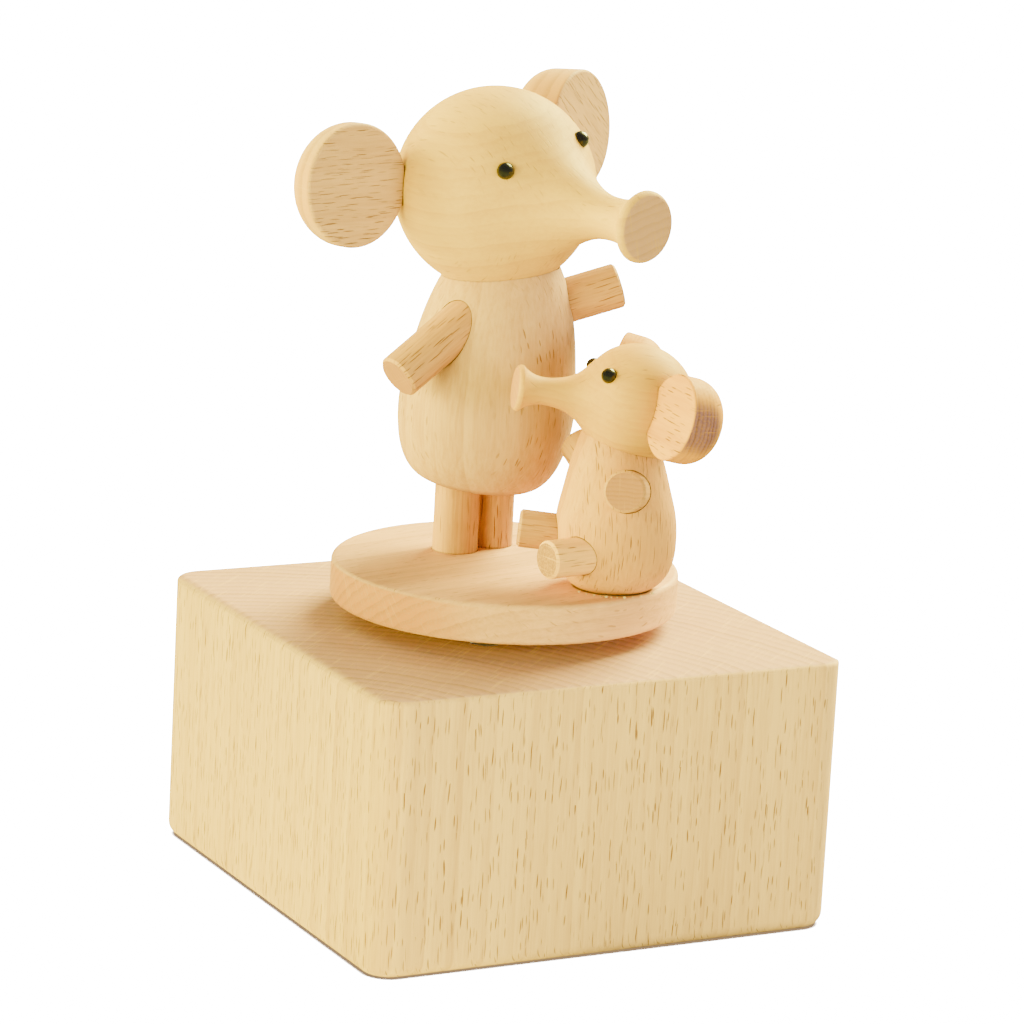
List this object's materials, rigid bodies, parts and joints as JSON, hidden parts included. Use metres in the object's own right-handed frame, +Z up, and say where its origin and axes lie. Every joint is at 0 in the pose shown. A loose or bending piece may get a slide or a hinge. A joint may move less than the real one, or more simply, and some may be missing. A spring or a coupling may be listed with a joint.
{
  "type": "rotating music box",
  "caption": "Beech music box: square block with a hidden comb movement, wound by turning a round plate that carries a standing and a sitting turned-wood elephant.",
  "frame": {"origin": "centre of the block's underside, on the axis of the turning plate", "axes": "+Z up along the plate's axis; -Y the side of the block that faces right in the picture, -X the side that faces left"},
  "size_m": [0.084, 0.084, 0.1334],
  "materials": {
    "block_beech": "sanded, oiled beech with the grain upright on the sides",
    "plate_beech": "sanded, oiled beech with the grain across the plate",
    "figure_beech": "turned, sanded and oiled beech",
    "cover_plywood": "thin plywood, sanded",
    "black_bead": "glossy black bead",
    "cast_metal": "fine casting, plated grey",
    "brass_work": "machined",
    "bright_steel": "bright drawn steel",
    "moulded_plastic": "moulded, matt"
  },
  "bodies": {
    "base": {"base_block": "block_beech", "bottom_cover": "cover_plywood", "cover_screws": "bright_steel", "bedplate": "cast_metal", "cylinder_bearing": "cast_metal", "bearing_screws": "bright_steel", "movement_screws": "bright_steel", "spring_housing": "bright_steel", "housing_screws": "bright_steel", "mainspring": "bright_steel", "comb": "bright_steel", "comb_screws": "bright_steel", "governor_frame": "bright_steel", "governor_screws": "bright_steel"},
    "turntable": {"turntable_plate": "plate_beech", "plate_flange": "bright_steel", "flange_screws": "bright_steel", "winding_arbor": "bright_steel", "ratchet_wheel": "bright_steel", "retaining_clip": "bright_steel", "mother_body": "figure_beech", "mother_head": "figure_beech", "mother_neck_dowel": "figure_beech", "mother_ear_right": "figure_beech", "mother_ear_left": "figure_beech", "mother_arm_right": "figure_beech", "mother_arm_left": "figure_beech", "mother_leg_right": "figure_beech", "mother_leg_left": "figure_beech", "mother_eye_right": "black_bead", "mother_eye_left": "black_bead", "baby_body": "figure_beech", "baby_head": "figure_beech", "baby_neck_dowel": "figure_beech", "baby_ear_right": "figure_beech", "baby_ear_left": "figure_beech", "baby_arm_right": "figure_beech", "baby_arm_left": "figure_beech", "baby_leg_right": "figure_beech", "baby_leg_left": "figure_beech", "baby_eye_right": "black_bead", "baby_eye_left": "black_bead"},
    "drive": {"drive_gear": "brass_work", "drive_click": "bright_steel"},
    "cylinder": {"cylinder_arbor": "bright_steel", "cylinder_drum": "brass_work", "cylinder_pins": "bright_steel", "cylinder_pinion": "brass_work", "cylinder_gear": "brass_work"},
    "governor": {"governor_arbor": "bright_steel", "governor_pinion": "brass_work", "worm_wheel": "moulded_plastic"},
    "worm_spindle": {"worm": "bright_steel", "air_brake": "moulded_plastic"}
  },
  "joints": [
    {"name": "plate_turn", "type": "hinge", "parent": "base", "child": "turntable", "pos_m": [0, 0, 0], "axis": [0, 0, 1], "continuous": true},
    {"name": "drive_turn", "type": "hinge", "parent": "base", "child": "drive", "pos_m": [0, 0, 0], "axis": [0, 0, 1], "continuous": true},
    {"name": "cylinder_turn", "type": "hinge", "parent": "base", "child": "cylinder", "pos_m": [0, 0, 0.02073], "axis": [1, 0, 0], "continuous": true},
    {"name": "governor_turn", "type": "hinge", "parent": "base", "child": "governor", "pos_m": [0, -0.0108, 0.02073], "axis": [1, 0, 0], "continuous": true},
    {"name": "worm_turn", "type": "hinge", "parent": "base", "child": "worm_spindle", "pos_m": [0.02375, -0.01557, 0], "axis": [0, 0, 1], "continuous": true}
  ],
  "couplings": [
    {"joint": "drive_turn", "follows": "plate_turn", "ratio": 1},
    {"joint": "cylinder_turn", "follows": "plate_turn", "ratio": -3},
    {"joint": "governor_turn", "follows": "plate_turn", "ratio": 13.2},
    {"joint": "worm_turn", "follows": "plate_turn", "ratio": 290.4}
  ]
}
